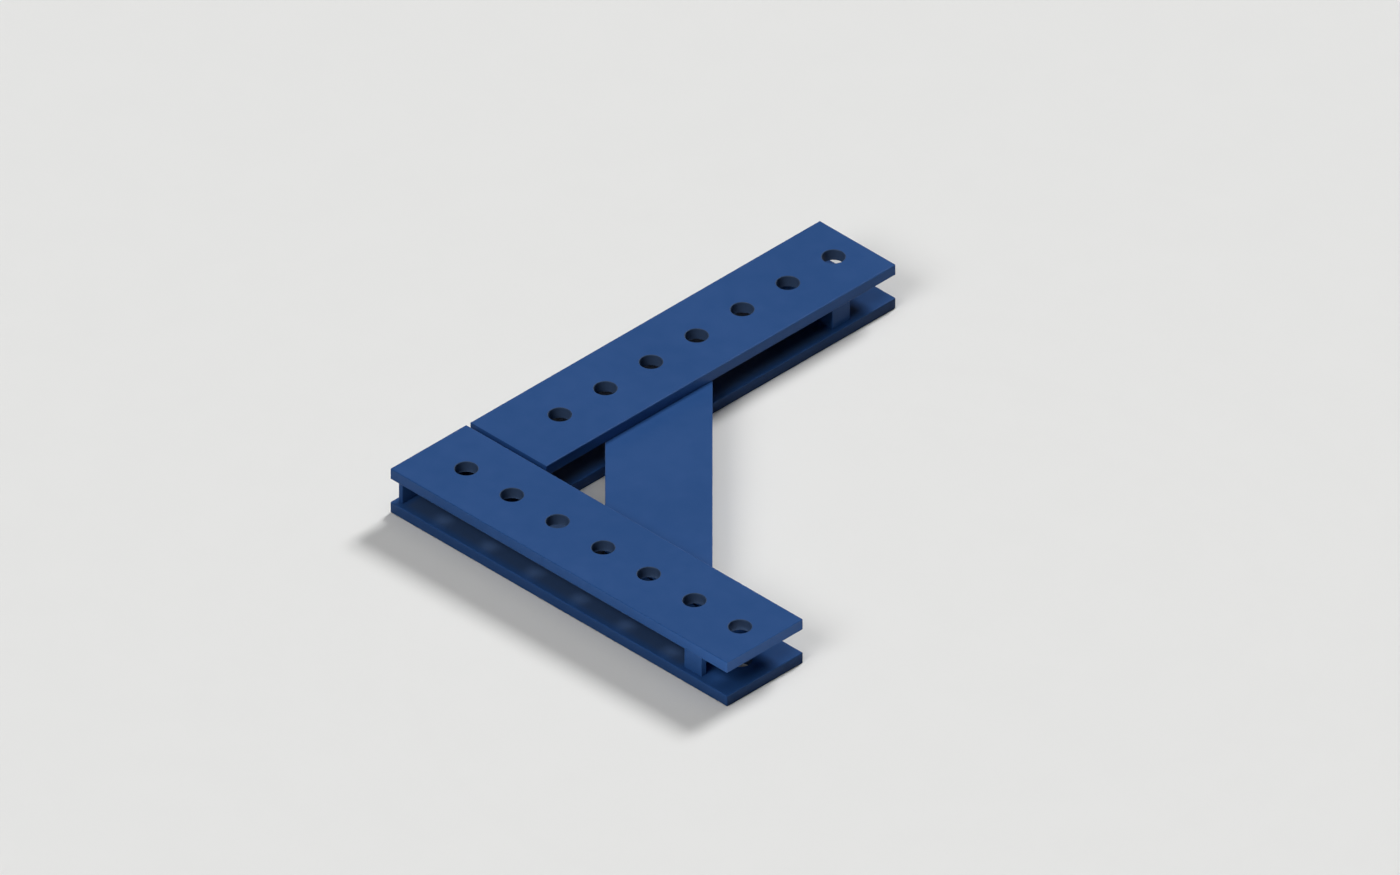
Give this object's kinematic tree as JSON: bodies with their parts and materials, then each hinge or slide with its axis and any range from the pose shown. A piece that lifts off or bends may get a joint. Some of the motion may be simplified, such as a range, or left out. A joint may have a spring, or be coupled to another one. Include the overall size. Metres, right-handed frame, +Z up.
{
  "type": "corner connector",
  "caption": "Right-angle steel corner connector: paired flat bars with rows of pin holes, diagonal braces and spacers, for joining double-channel walings.",
  "frame": {"origin": "on the axis of the corner hole, at the underside of the lower plates", "axes": "+X along leg A to its free end, +Y along leg B to its free end, +Z up through the plates"},
  "size_m": [0.443, 0.565, 0.05],
  "materials": {
    "blue_paint": "satin"
  },
  "bodies": {
    "root": {"leg_a_upper_plate": "blue_paint", "leg_a_lower_plate": "blue_paint", "leg_b_upper_plate": "blue_paint", "leg_b_lower_plate": "blue_paint", "upper_brace": "blue_paint", "lower_brace": "blue_paint", "corner_spacer": "blue_paint", "joint_plate": "blue_paint", "leg_a_u_spacer": "blue_paint", "leg_b_u_spacer": "blue_paint", "corner_spacer_welds": "blue_paint", "joint_plate_welds": "blue_paint", "seam_welds": "blue_paint", "upper_brace_welds": "blue_paint", "lower_brace_welds": "blue_paint", "leg_a_u_spacer_welds": "blue_paint", "leg_b_u_spacer_welds": "blue_paint"}
  },
  "joints": []
}
